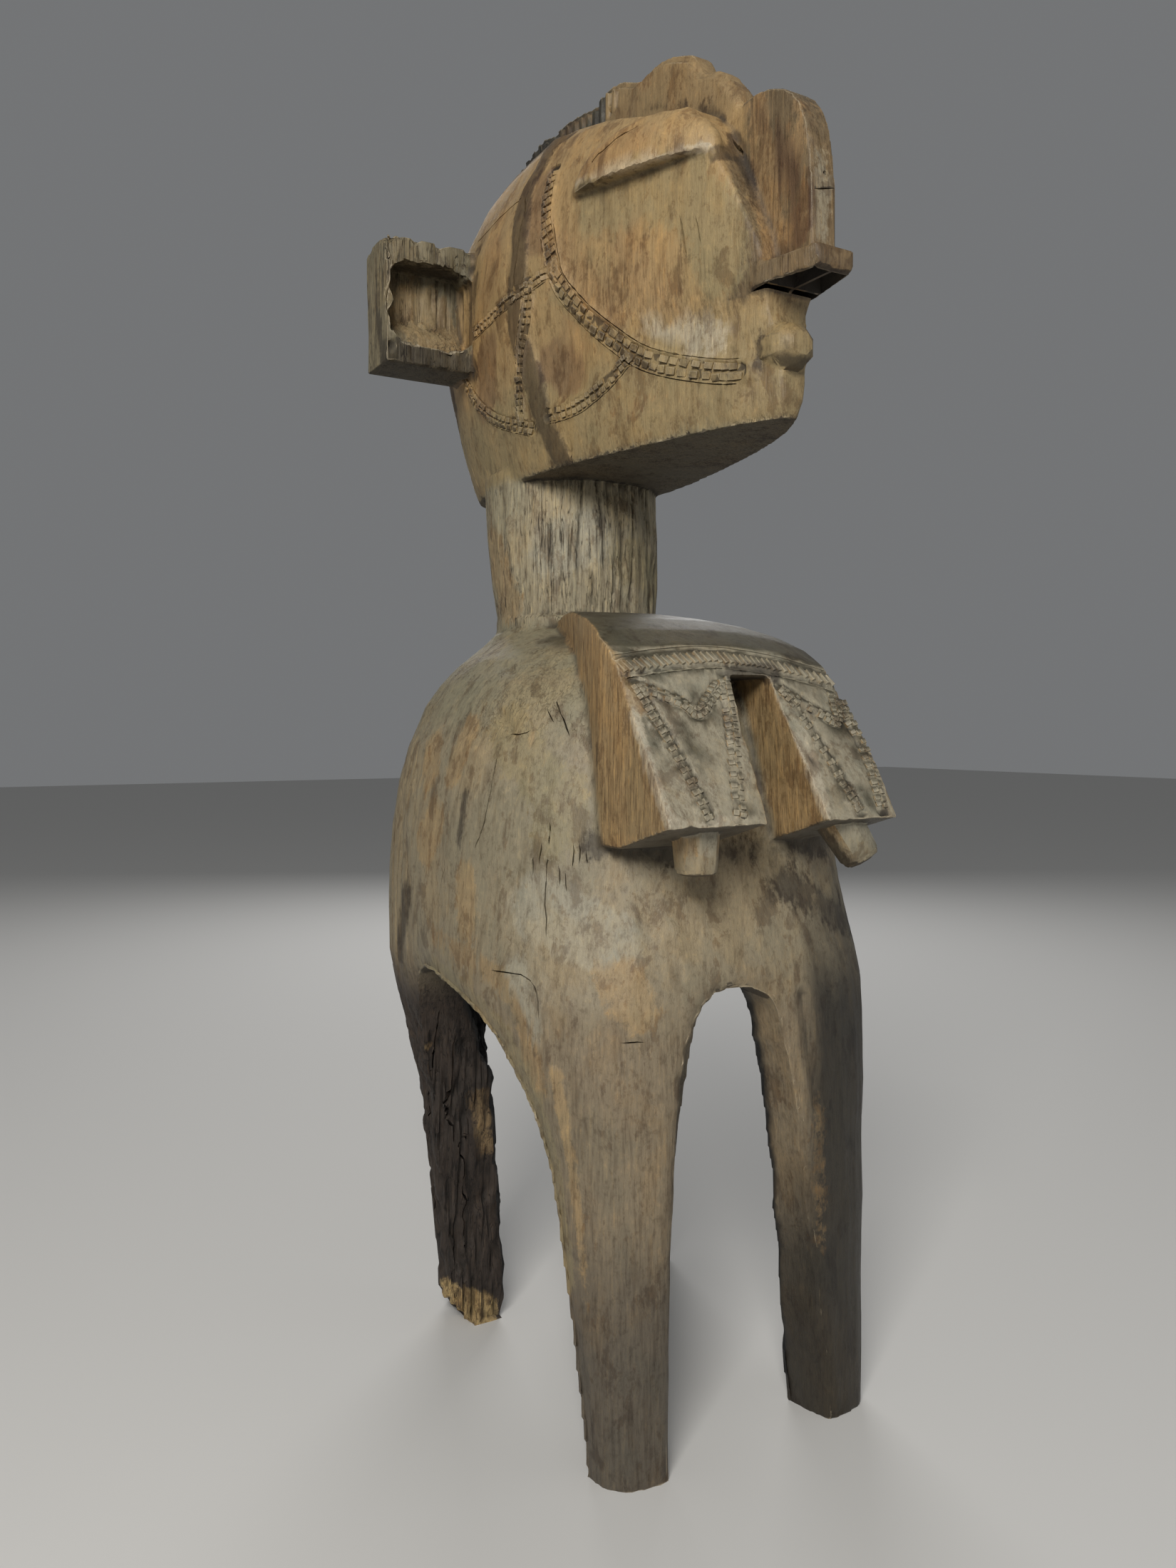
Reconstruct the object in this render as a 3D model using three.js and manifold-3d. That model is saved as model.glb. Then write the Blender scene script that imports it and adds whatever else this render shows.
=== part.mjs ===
// A nimba, the Baga shoulder mask: a head on a neck over a hollow yoke that stands on four legs. The whole work is
// carved from one block of wood, so it is one solid. Millimetres, +Z up, the face looks along -Y, and the origin is
// on the floor under the middle of the mask.
import * as THREE from 'three';
import { mergeVertices } from 'three/addons/utils/BufferGeometryUtils.js';
import Module from 'manifold-3d';

const wasm = await Module();
wasm.setup();

const { smoothstep, mapLinear } = THREE.MathUtils;

// Driving dimensions
const ROOF = 598; // the hollow's roof, under the neck
const NECK_FOOT = 690; // where the neck leaves the shoulders
const JAW = 836; // flat underside of the head
const CREST_TOP = 1204; // overall height
const FRONT = -203; // front of the forelegs
const RIGHT_SIDE = -120; // right side of the chest
const LEFT_SIDE = 106; // left side of the chest
const CENTRE_Y = -0.5; // moves the middle of the mask over the origin

// Cross-sections of the yoke: height, half width, front, back, squareness of the oval
const YOKE = [
  [0, 142, FRONT, 164, 8],
  [120, 150, -204, 184, 6],
  [250, 165, -207, 214, 4.2],
  [320, 181, -208, 242, 3.4],
  [377, 192, -205, 263, 3.0],
  [420, 192, -199, 277, 2.7],
  [460, 191, -190, 280, 2.6],
  [500, 189, -181, 273, 2.6],
  [540, 185, -171, 262, 2.6],
  [580, 177, -160, 250, 2.5],
  [620, 161, -147, 238, 2.35],
  [640, 147, -134, 229, 2.3],
  [660, 127, -112, 216, 2.2],
  [678, 102, -70, 200, 2.1],
  [694, 82, 8, 180, 2],
];
// The hollow inside it, in the same terms
const HOLLOW = [
  [-20, 82, -158, 122, 7],
  [140, 90, -162, 138, 6],
  [250, 98, -166, 168, 4.5],
  [340, 132, -165, 198, 3.2],
  [420, 149, -158, 234, 2.8],
  [500, 147, -140, 230, 2.6],
  [550, 128, -118, 208, 2.5],
  [580, 100, -88, 182, 2.4],
  [ROOF, 60, -45, 140, 2.2],
];
// Cross-sections of the head: height, half width, flat of the face, point where its sides would meet,
// back, and the two powers that bend the sides between the ears and the face
const HEAD = [
  [JAW, 79, -238, -243, 230, 1.35, 1.55],
  [852, 83, -243, -252, 239, 1.33, 1.5],
  [887, 91, -240, -262, 252, 1.25, 1.3],
  [920, 96, -233, -283, 264, 1.2, 1.1],
  [945, 98, -238, -320, 275, 1.17, 1.05],
  [970, 100, -232, -343, 284, 1.15, 1],
  [1020, 100, -207, -340, 288, 1.15, 1],
  [1060, 96, -184, -330, 280, 1.2, 1.05],
  [1088, 88, -172, -310, 262, 1.3, 1.1],
  [1110, 78, -104, -200, 248, 1.5, 1.4],
  [1132, 67, -45, -110, 238, 1.7, 1.6],
  [1151, 53, 12, -20, 226, 1.9, 1.8],
  [1166, 38, 62, 45, 212, 2, 2],
  [1178, 20, 100, 95, 194, 2, 2],
];

// The row of numbers at a height, between the rows of a table
function rowAt(table, z) {
  const k = Math.max(1, table.findIndex((row) => row[0] >= z));
  if (z > table[table.length - 1][0]) return table[table.length - 1];
  const t = Math.max(0, mapLinear(z, table[k - 1][0], table[k][0], 0, 1));
  return table[k - 1].map((value, i) => value + (table[k][i] - value) * t);
}

const power = (value, e) => (Math.abs(value) < 1e-6 ? 0 : Math.sign(value) * Math.abs(value) ** e);

// A point of a squared oval at a height, from a table of cross-sections
function ovalOutline(table, z, angle) {
  const [, half, front, back, square] = rowAt(table, z);
  const x = half * power(Math.cos(angle), 2 / square);
  const y = ((back - front) / 2) * power(Math.sin(angle), 2 / square);
  return new THREE.Vector2(x, (front + back) / 2 + y);
}

// The head is widest at the ears. Behind them it is round, and towards the face its sides run in like a wedge
const WIDEST = 60;
const CORNER = 9 / 11; // share of each side's corners that lie before the flat of the face

function widestAt(point, back) {
  return Math.min(Math.max(WIDEST, point + 60), back - 60);
}

function headHalfWidth(y, z) {
  const [, half, , point, back, bow, fill] = rowAt(HEAD, z);
  const widest = widestAt(point, back);
  const t = y < widest ? (widest - y) / (widest - point) : (y - widest) / (back - widest);
  const [outer, inner] = y < widest ? [bow, fill] : [3, 3];
  return half * Math.max(0, 1 - Math.min(1, t) ** outer) ** (1 / inner);
}

function headOutline(z, angle) {
  const [, half, flat, point, back] = rowAt(HEAD, z);
  const widest = widestAt(point, back);
  const side = Math.sign(Math.cos(angle)) || 0;
  if (angle > 0) {
    const round = widest + (back - widest) * power(Math.sin(angle), 2 / 3);
    return new THREE.Vector2(half * power(Math.cos(angle), 2 / 3), round);
  }
  const blunt = headHalfWidth(flat, z);
  const part = (-angle < Math.PI / 2 ? -angle : Math.PI + angle) / (Math.PI / 2);
  if (part < CORNER) {
    const y = mapLinear(part, 0, CORNER, widest, flat);
    return new THREE.Vector2(side * headHalfWidth(y, z), y);
  }
  return new THREE.Vector2(side * blunt * mapLinear(part, CORNER, 1, 1, 0), flat);
}

// A closed body lofted through the outlines at the given heights
function loft(heights, sides, outline) {
  const levels = heights.length - 1;
  const g = new THREE.CylinderGeometry(1, 1, 1, sides, levels);
  const p = g.getAttribute('position');
  for (let i = 0; i < p.count; i++) {
    const z = heights[Math.round((p.getY(i) + 0.5) * levels)];
    const onAxis = Math.hypot(p.getX(i), p.getZ(i)) < 0.5;
    const centre = outline(z, 0).add(outline(z, Math.PI)).multiplyScalar(0.5);
    const at = onAxis ? centre : outline(z, Math.atan2(-p.getZ(i), p.getX(i)));
    p.setXYZ(i, at.x, at.y, z);
  }
  return g;
}

// An outline pushed through a depth, then turned to lie along X, Y or Z
function extrude(points, depth, place, steps = 1) {
  const shape = new THREE.Shape(points.map(([u, v]) => new THREE.Vector2(u, v)));
  return new THREE.ExtrudeGeometry(shape, { depth, steps, bevelEnabled: false }).applyMatrix4(place);
}
const alongX = (from) => new THREE.Matrix4().set(0, 0, 1, from, 1, 0, 0, 0, 0, 1, 0, 0, 0, 0, 0, 1);
const alongY = (to) => new THREE.Matrix4().set(1, 0, 0, 0, 0, 0, -1, to, 0, 1, 0, 0, 0, 0, 0, 1);
const alongZ = (from) => new THREE.Matrix4().makeTranslation(0, 0, from);

// Moves every corner of a shape by a function of its place
function reshape(g, move) {
  const p = g.getAttribute('position');
  for (let i = 0; i < p.count; i++) {
    const at = move(new THREE.Vector3().fromBufferAttribute(p, i));
    p.setXYZ(i, at.x, at.y, at.z);
  }
  return g;
}

// A shape made a solid that can be joined and cut
function solid(g, place = new THREE.Matrix4()) {
  g.applyMatrix4(place);
  g.deleteAttribute('normal');
  g.deleteAttribute('uv');
  const merged = mergeVertices(g, 1e-3);
  return new wasm.Manifold(
    new wasm.Mesh({
      numProp: 3,
      vertProperties: merged.getAttribute('position').array,
      triVerts: new Uint32Array(merged.index.array),
    }),
  );
}

function box(width, depth, height, place) {
  return solid(new THREE.BoxGeometry(width, depth, height), place);
}

// The outside of the yoke, with its four legs still joined by the walls between them
function yoke() {
  const heights = [0, 120, 185, 250, 290, 320, 350, 377, 400, 430, 460, 500, 540, 580, 620, 640, 660, 678, 694, 706];
  return solid(loft(heights, 40, (z, angle) => ovalOutline(YOKE, z, angle)));
}

function hollow() {
  const heights = HOLLOW.map(([z]) => z);
  return solid(loft(heights, 28, (z, angle) => ovalOutline(HOLLOW, z, angle)));
}

// Each doorway between two legs, from the floor up one side, over and down the other
const FRONT_DOOR = [
  [-84, 0], [-84, 140], [-81, 240], [-78, 300], [-70, 343], [-60, 370], [-46, 386], [-26, 390],
  [-4, 387], [12, 380], [22, 366], [29, 334], [38, 300], [48, 240], [64, 140], [84, 0],
];
const BACK_DOOR = [
  [-84, 0], [-80, 140], [-70, 250], [-54, 315], [-32, 348], [0, 360],
  [32, 348], [54, 315], [70, 250], [80, 140], [84, 0],
];
const RIGHT_DOOR = [
  [-161, 0], [-154, 60], [-146, 130], [-139, 200], [-130, 250], [-118, 288], [-102, 318], [-80, 343], [-50, 360],
  [-13, 371], [25, 380], [50, 379], [68, 366], [82, 335], [92, 280], [96, 200], [98, 120], [98, 0],
];
const LEFT_DOOR = [
  [-158, 0], [-152, 60], [-144, 130], [-136, 200], [-126, 250], [-112, 290], [-92, 322], [-58, 350], [-10, 367],
  [25, 374], [56, 370], [82, 352], [102, 318], [114, 270], [122, 200], [126, 120], [128, 0],
];
const DOOR_FLARE = 0.004; // the front doorway's sides open outwards by this share for each millimetre

function door(points, place) {
  const curve = new THREE.SplineCurve(points.map(([u, z]) => new THREE.Vector2(u, z)));
  const edge = curve.getPoints(22).map(({ x, y }) => [x, y]);
  const foot = [points[points.length - 1][0], -30];
  return extrude([[points[0][0], -30], ...edge, foot], 240, place);
}

function doors() {
  const front = reshape(door(FRONT_DOOR, alongY(-60)), (at) => at.setX(at.x * (1 - DOOR_FLARE * (at.y - FRONT))));
  return [front, door(BACK_DOOR, alongY(300)), door(RIGHT_DOOR, alongX(-240)), door(LEFT_DOOR, alongX(0))]
    .map((g) => solid(g))
    .reduce((made, next) => made.add(next));
}

// The right hind leg is worn and has broken off askew, so only its inner corner reaches the floor
function brokenTip() {
  const slant = new THREE.Matrix4().makeTranslation(-146, 130, 2).multiply(new THREE.Matrix4().makeRotationY(0.96));
  return box(70, 120, 60, slant.multiply(new THREE.Matrix4().makeTranslation(0, 0, -8)));
}

function neck() {
  const heights = [NECK_FOOT - 30, NECK_FOOT, 740, 790, JAW + 12];
  return solid(loft(heights, 24, (z, angle) => {
    const t = Math.max(0, mapLinear(z, NECK_FOOT, JAW, 0, 1));
    const radius = 78 + 9 * Math.min(1, t * 2);
    return new THREE.Vector2(radius * Math.cos(angle), 96 + 14 * t + radius * Math.sin(angle));
  }));
}

// The upper chest runs out into two flat hanging breasts, with a gap between them that narrows upwards
const CHEST_TOP = [[40, 700], [0, 705], [-40, 703], [-80, 697], [-110, 692], [-140, 681], [-162, 667]];
const BREAST_FRONT = [[-178, 649], [-194, 621], [-211, 593], [-229, 566], [-252, 526]];
const BREAST_BACK = [[-179, 505], [-90, 505], [-60, 560], [40, 640]];
const CHEST_PLAN = [
  [-50, 60], [-72, -10], [-104, -92], [RIGHT_SIDE, -150], [RIGHT_SIDE, -300],
  [LEFT_SIDE, -300], [LEFT_SIDE - 4, -150], [92, -92], [70, -10], [50, 60],
];
const BREAST_GAP = [[-34, 480], [34, 480], [23, 641], [-18, 641]];

// How far the crowned chest falls towards its sides and bows forward in the middle
function crown(x, z) {
  const out = (x + 10) / 110;
  const high = smoothstep(z, 560, 650);
  return { fall: (out > 0 ? 14 : 3.6) * out * out * high, bow: 4 * (1 - out * out) * high };
}

function chest() {
  const side = [...CHEST_TOP, ...BREAST_FRONT, ...BREAST_BACK];
  const slab = reshape(extrude(side, LEFT_SIDE - RIGHT_SIDE, alongX(RIGHT_SIDE), 8), (at) => {
    const { fall, bow } = crown(at.x, at.z);
    return at.set(at.x, at.y - bow, at.z - fall);
  });
  return solid(slab)
    .intersect(solid(extrude(CHEST_PLAN, 300, alongZ(450))))
    .subtract(solid(extrude(BREAST_GAP, 200, alongY(-120))));
}

// A nipple is an eight-sided knob
function nipple(x, y, z, reach) {
  const turn = new THREE.Quaternion().setFromUnitVectors(new THREE.Vector3(0, 1, 0), reach.normalize());
  const place = new THREE.Matrix4().makeRotationFromQuaternion(turn).setPosition(x, y, z);
  return solid(new THREE.CylinderGeometry(16, 20, 50, 8).rotateY(Math.PI / 8), place);
}

function head() {
  const heights = [JAW, 852, 870, 887, 920, 945, 970, 1000, 1020, 1040, 1060, 1076, 1092, 1110, 1122, 1134];
  return solid(loft([...heights, 1150, 1166, 1184], 44, headOutline));
}

// The crest is an upright plate along the middle of the skull, two lobes in front and a comb behind
const CREST = [
  [-171, 1080], [-187, 1088], [-181, 1105], [-161, 1128], [-143, 1142], [-112, 1157], [-88, 1167], [-61, 1173],
  [-38, 1177], [-24, 1184], [-7, 1192], [8, 1195], [20, 1195], [32, 1189], [50, 1192], [68, 1196], [97, 1200],
  [121, 1198], [144, CREST_TOP], [176, 1197], [205, 1185], [232, 1160], [252, 1130], [268, 1095], [280, 1055],
];
const CREST_FOOT = [[262, 1050], [220, 1120], [150, 1160], [0, 1130], [-100, 1090]];
const CREST_HALF = 18;
const RIDGE_HALF = 11;
const COMB = { from: -10, to: 240, pitch: 12.5, width: 5.5, depth: 5 };

function crest() {
  const slim = (at) => at.setX(at.x * mapLinear(smoothstep(at.y, -190, -40), 0, 1, 0.7, 1));
  const shoulder = CREST.map(([y, z]) => [y, z - 7]);
  const ridge = reshape(extrude([...CREST, ...CREST_FOOT], 2 * RIDGE_HALF, alongX(-RIDGE_HALF)), slim);
  const body = reshape(extrude([...shoulder, ...CREST_FOOT], 2 * CREST_HALF, alongX(-CREST_HALF)), slim);
  let made = solid(ridge).add(solid(body));
  for (let y = COMB.from; y <= COMB.to; y += COMB.pitch) {
    const z = mapLinear(y, COMB.from, COMB.to, 1195, 1150);
    const lean = new THREE.Matrix4().makeRotationX(mapLinear(y, COMB.from, COMB.to, 0.1, -0.7));
    for (const side of [-1, 1]) {
      const x = side * (CREST_HALF + 10 - COMB.depth);
      made = made.subtract(box(20, COMB.width, 60, new THREE.Matrix4().makeTranslation(x, y, z).multiply(lean)));
    }
  }
  return made;
}

// The nose is a thin upright plate that ends below in two nostril wings
const NOSE = [
  [-150, 1070], [-192, 1091], [-206, 1091], [-223, 1087], [-239, 1080], [-251, 1071], [-260, 1059], [-266, 1044],
  [-270, 1024], [-273, 1000], [-275, 940], [-160, 940],
];
const NOSE_HALF = 12;
const NOSTRILS = [[-30, -190], [-30, -232], [-17.5, -287], [17.5, -287], [30, -232], [30, -190]];

function nose() {
  const plate = solid(extrude(NOSE, 2 * NOSE_HALF, alongX(-NOSE_HALF)));
  return plate.add(solid(extrude(NOSTRILS, 17, alongZ(933))));
}

// The mouth is an eight-sided bead
function mouth() {
  const profile = [[0, -20], [17, -20], [19.5, 8], [16, 17], [9, 23], [0, 24]];
  const bead = new THREE.LatheGeometry(profile.map(([r, h]) => new THREE.Vector2(r, h)), 8).rotateX(Math.PI);
  return solid(bead.translate(-3, -232, 889));
}

// An ear is a block with its front face hollowed out
function ear(side) {
  const block = box(108, 57, 120, new THREE.Matrix4().makeTranslation(side * 134, 163, 1011));
  return block.subtract(box(77, 60, 66, new THREE.Matrix4().makeTranslation(side * 139.5, 140, 1010)));
}

// An eye is a swelling that ends below in a flat shelf
function eye(side) {
  const turned = (g) => solid(g.rotateX(0.075).rotateZ(side * -0.25).translate(side * 55, -112, 1055));
  const ball = turned(new THREE.SphereGeometry(1, 18, 10).scale(22, 84, 46));
  return ball.subtract(turned(new THREE.BoxGeometry(200, 300, 200).translate(0, 0, -100)));
}

// A raised band is a ribbon laid along a line of places on a carved surface
function ribbon(line, width, rise, place) {
  const curve = new THREE.SplineCurve(line.map(([u, v]) => new THREE.Vector2(u, v)));
  const middle = new THREE.Vector3(0, 40, 0);
  const strip = new THREE.BoxGeometry(width, 1, 1, 1, line.length, 1);
  return solid(reshape(strip, (at) => {
    const t = at.y + 0.5;
    const here = curve.getPoint(t);
    const next = curve.getPoint(Math.min(1, t + 0.01));
    const last = curve.getPoint(Math.max(0, t - 0.01));
    const spot = place(here.x, here.y);
    const byU = place(here.x + 2, here.y).sub(place(here.x - 2, here.y));
    const byV = place(here.x, here.y + 2).sub(place(here.x, here.y - 2));
    const out = byU.cross(byV).normalize();
    if (out.dot(spot.clone().sub(middle.setZ(spot.z))) < 0) out.negate();
    const along = place(next.x, next.y).sub(place(last.x, last.y)).normalize();
    const across = along.cross(out);
    return spot.addScaledVector(across, at.x).addScaledVector(out, at.z > 0 ? rise : -5);
  }));
}

// Bands on the side of the head as (y, z), each after its width
const TEMPLE_TO_MOUTH = [
  [3, 1099], [1, 1072], [-3, 1045], [-18, 997], [-47, 962], [-82, 931], [-113, 908], [-146, 893], [-187, 880],
  [-222, 874],
];
const EAR_TO_TEMPLE = [[128, 988], [78, 993], [36, 999], [-2, 1006]];
const TEMPLE_TO_JAW = [[19, 1004], [24, 974], [36, 942], [43, 905], [45, 886]];
const UNDER_EAR = [[155, 947], [133, 925], [108, 907], [80, 893], [32, 877]];
const CHEEK_POCKET = [[2, 882], [-36, 883], [-72, 894], [-101, 911]];
const HEAD_BANDS = [
  [15, TEMPLE_TO_MOUTH], [12, EAR_TO_TEMPLE], [12, TEMPLE_TO_JAW], [12, UNDER_EAR], [12, CHEEK_POCKET],
];

function headBands(side) {
  const place = (y, z) => new THREE.Vector3(side * headHalfWidth(y, z), y, z);
  return HEAD_BANDS.map(([width, line]) => ribbon(line, width, 3, place)).reduce((made, next) => made.add(next));
}

// Bands on the front of the chest as (x, z): one across the top, and on each breast two down and a chevron
const CHEST_BANDS = [
  [15, [[-117, 646], [-77, 652], [-32, 656], [6, 654], [46, 649], [99, 639]]],
  [10, [[-111, 632], [-98, 592], [-84, 533]]],
  [10, [[-24, 640], [-32, 597], [-55, 532]]],
  [9, [[-107, 631], [-74, 620], [-60, 611], [-46, 622], [-30, 633]]],
  [10, [[30, 632], [43, 607], [58, 557], [65, 534]]],
  [10, [[99, 622], [99, 576], [92, 533]]],
  [9, [[32, 630], [68, 611], [83, 604], [88, 615], [92, 630]]],
];

function chestFront(x, z) {
  const edge = [...CHEST_TOP.slice(-1), ...BREAST_FRONT];
  const { fall, bow } = crown(x, z);
  const k = Math.max(1, edge.findIndex(([, height]) => height <= z + fall));
  const y = mapLinear(z + fall, edge[k - 1][1], edge[k][1], edge[k - 1][0], edge[k][0]);
  return new THREE.Vector3(x, y - bow, z);
}

function chestBands() {
  const bands = CHEST_BANDS.map(([width, line]) => ribbon(line, width, 2.5, chestFront));
  return bands.reduce((made, next) => made.add(next));
}

const pieces = [
  chest(),
  nipple(-73, -218, 512, new THREE.Vector3(0.03, 0, -1)),
  nipple(73, -225, 512, new THREE.Vector3(0.45, -0.25, -0.85)),
  neck(),
  head(),
  crest(),
  nose(),
  mouth(),
  chestBands(),
];
for (const side of [-1, 1]) pieces.push(ear(side), eye(side), headBands(side));
const carved = pieces
  .reduce((made, piece) => made.add(piece), yoke())
  .subtract(hollow())
  .subtract(doors())
  .subtract(brokenTip())
  .getMesh();

const geometry = new THREE.BufferGeometry();
geometry.setAttribute('position', new THREE.BufferAttribute(new Float32Array(carved.vertProperties), 3));
geometry.setIndex(new THREE.BufferAttribute(new Uint32Array(carved.triVerts), 1));
geometry.translate(0, CENTRE_Y, 0);
geometry.computeVertexNormals();

const wood = new THREE.MeshStandardMaterial({ color: 0x5a4a36, roughness: 0.7, metalness: 0 });
const nimba = new THREE.Mesh(geometry, wood);
nimba.name = 'nimba_mask';
const group = new THREE.Group();
group.add(nimba);
export default group;
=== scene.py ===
import math
import random

import bmesh
import bpy
import numpy as np
from mathutils import Matrix, Vector, noise
from mathutils.bvhtree import BVHTree


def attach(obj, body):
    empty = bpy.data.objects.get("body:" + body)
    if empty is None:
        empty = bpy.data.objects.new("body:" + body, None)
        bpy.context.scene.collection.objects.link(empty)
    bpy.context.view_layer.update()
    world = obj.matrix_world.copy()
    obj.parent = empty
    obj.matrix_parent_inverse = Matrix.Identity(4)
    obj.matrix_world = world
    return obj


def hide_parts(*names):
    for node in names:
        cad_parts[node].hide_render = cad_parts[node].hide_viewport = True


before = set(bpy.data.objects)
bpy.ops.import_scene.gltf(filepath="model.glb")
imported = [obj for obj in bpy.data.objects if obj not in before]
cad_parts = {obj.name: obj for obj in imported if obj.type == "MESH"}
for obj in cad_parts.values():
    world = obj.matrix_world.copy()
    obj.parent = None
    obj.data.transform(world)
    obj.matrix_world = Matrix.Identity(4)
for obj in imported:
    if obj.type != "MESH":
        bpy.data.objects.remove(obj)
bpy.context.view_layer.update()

# The block. The whole mask is one length of trunk, its grain upright and its pith running up through the neck. The
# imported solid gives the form: it is merged, made into a fine even mesh that can be carved, and its broad flats are
# eased round where they meet at a low angle, so that only the true edges stay crisp.
CHIP = 0.0022
EASING = 30

roughed = bmesh.new()
roughed.from_mesh(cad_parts["nimba_mask"].data)
bmesh.ops.remove_doubles(roughed, verts=roughed.verts, dist=1e-5)
mask = bpy.data.objects.new("carved_mask", bpy.data.meshes.new("carved_mask"))
roughed.to_mesh(mask.data)
roughed.free()
bpy.context.scene.collection.objects.link(mask)


def shaped(piece, kind, **settings):
    """Puts one modifier on a piece and makes its result the piece's own mesh."""
    modifier = piece.modifiers.new(kind.lower(), kind)
    for name, value in settings.items():
        setattr(modifier, name, value)
    seen = piece.evaluated_get(bpy.context.evaluated_depsgraph_get())
    mesh = bpy.data.meshes.new_from_object(seen)
    piece.modifiers.clear()
    piece.data = mesh
    mesh.name = piece.name
    return mesh


def read(mesh, what):
    values = np.empty(3 * len(mesh.vertices), np.float32)
    mesh.vertices.foreach_get(what, values)
    return values.reshape(-1, 3).astype(float)


def write(mesh, at):
    mesh.vertices.foreach_set("co", at.astype(np.float32).ravel())
    mesh.update()


def averager(mesh):
    """A function that gives each vertex the mean of its neighbours' rows."""
    ends = np.empty(2 * len(mesh.edges), np.int32)
    mesh.edges.foreach_get("vertices", ends)
    a, b = ends.reshape(-1, 2).T
    n = len(mesh.vertices)
    many = np.maximum(np.bincount(np.concatenate([a, b]), minlength=n), 1)[:, None]

    def mean(rows):
        sums = [np.bincount(a, row[b], n) + np.bincount(b, row[a], n) for row in rows.T]
        return np.stack(sums, 1) / many

    return mean


def soft(value, low, high):
    """0 at low and 1 at high, with a smooth rise between them."""
    t = np.clip((value - low) / (high - low), 0, 1)
    return t * t * (3 - 2 * t)


shaped(mask, "REMESH", mode="VOXEL", voxel_size=CHIP, adaptivity=0)
mean = averager(mask.data)
at = read(mask.data, "co")
for pull in (0.5, -0.52) * 8:
    at += pull * (mean(at) - at)
write(mask.data, at)
out = read(mask.data, "normal")
bend = np.linalg.norm(mean(mean(out)) - out, axis=1)[:, None]
crisp = soft(mean(bend), 0.05, 0.11)
for _ in range(EASING):
    for pull in (0.6, -0.62):
        at += pull * (mean(at) - at) * (1 - crisp)
write(mask.data, at)
out = read(mask.data, "normal")

# The carving. An adze left shallow scoops all over, long slanting cuts under the breasts, and chamfers along the
# doorways between the legs. The cheeks are let in between their bands, a strip of hair stands down each side of the
# head, and the ground of every band lies lower than its blocks.
YOKE = [
    (0, 142, -203, 164, 8),
    (120, 150, -204, 184, 6),
    (250, 165, -207, 214, 4.2),
    (320, 181, -208, 242, 3.4),
    (377, 192, -205, 263, 3),
    (460, 191, -190, 280, 2.6),
    (540, 185, -171, 262, 2.6),
    (620, 161, -147, 238, 2.35),
    (660, 127, -112, 216, 2.2),
    (694, 82, 8, 180, 2),
]
HOLLOW = [
    (-20, 82, -158, 122, 7),
    (140, 90, -162, 138, 6),
    (250, 98, -166, 168, 4.5),
    (340, 132, -165, 198, 3.2),
    (420, 149, -158, 234, 2.8),
    (500, 147, -140, 230, 2.6),
    (580, 100, -88, 182, 2.4),
    (598, 60, -45, 140, 2.2),
]


def oval(rows, at):
    """Below 1 inside the squared ovals of a table of cross-sections in millimetres, above 1 outside them."""
    height, half, front, back, square = np.array(rows, float).T
    z = at[:, 2] * 1000
    half, front, back, square = (np.interp(z, height, row) for row in (half, front, back, square))
    x = np.abs(at[:, 0] * 1000) / half
    y = np.abs(at[:, 1] * 1000 - (front + back) / 2) / ((back - front) / 2)
    return x**square + y**square


def curve(points, steps=60):
    """Places along a smooth line through the points, given in millimetres."""
    p = np.array(points, float) / 1000
    p = np.vstack([p[0], p, p[-1]])
    t = np.linspace(0, len(p) - 3 - 1e-6, steps)
    k = t.astype(int)
    t = (t - k)[:, None]
    a, b, c, d = p[k], p[k + 1], p[k + 2], p[k + 3]
    return 0.5 * (2 * b + (c - a) * t + (2 * a - 5 * b + 4 * c - d) * t**2 + (3 * b - a - 3 * c + d) * t**3)


def away(places, line, reach):
    """How far each place lies from a line, no further than reach."""
    found = np.full(len(places), reach)
    low, high = line.min(0) - reach, line.max(0) + reach
    close = np.flatnonzero(np.all((places > low) & (places < high), axis=1))
    p = places[close]
    best = np.full(len(close), reach)
    for a, b in zip(line[:-1], line[1:]):
        step = b - a
        t = np.clip((p - a) @ step / max(step @ step, 1e-12), 0, 1)
        best = np.minimum(best, np.linalg.norm(p - a - t[:, None] * step, axis=1))
    found[close] = best
    return found


def lumps(at, size, seed):
    """Smooth unevenness from about -1 to 1, its lumps as large as size in metres."""
    moved = at / np.array(size) + seed * 7.31
    return np.array([noise.noise(p) for p in moved.tolist()])


def scoops(at, size):
    """Rises from 0 in the middle of each scoop to about 1 along the ridges between them."""
    moved = at / np.array(size)
    return np.array([noise.voronoi(p, distance_metric="DISTANCE_SQUARED")[0][0] for p in moved.tolist()])


broad = out
for _ in range(3):
    broad = mean(broad)
broad /= np.maximum(np.linalg.norm(broad, axis=1), 1e-6)[:, None]
x, y, z = at.T
inside = (1 - soft(oval(HOLLOW, at), 1.1, 1.25)) * (z < 0.606)
head = soft(z, 0.833, 0.841)
neck = soft(z, 0.7, 0.72) * (1 - head)
body = (1 - soft(z, 0.68, 0.71)) * (1 - inside)
chest = soft(oval(YOKE, at), 1.04, 1.12) * (z > 0.502) * (z < 0.71)
ear = head * (np.abs(x) > 0.099) * (y > 0.132)
nose = head * (y < -0.19) * (np.abs(x) < 0.034) * (z > 0.93)
crest = head * (np.abs(x) < 0.0195) * (z > 1.09)
broken_leg = (1 - soft(z, 0.27, 0.36)) * (x < -0.05) * (y > 0.06) * (z > 0.001)
upright = 1 - soft(np.abs(out[:, 2]), 0.35, 0.75)
under_jaw = head * soft(-out[:, 2], 0.6, 0.9) * (z < 0.86)
lid = head * (z > 1.03) * (z < 1.09) * (y < -0.03) * (np.abs(x) > 0.03)
plain = 1 - np.maximum.reduce([ear, nose, crest, broken_leg, 0.85 * under_jaw, 0.8 * lid])

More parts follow.
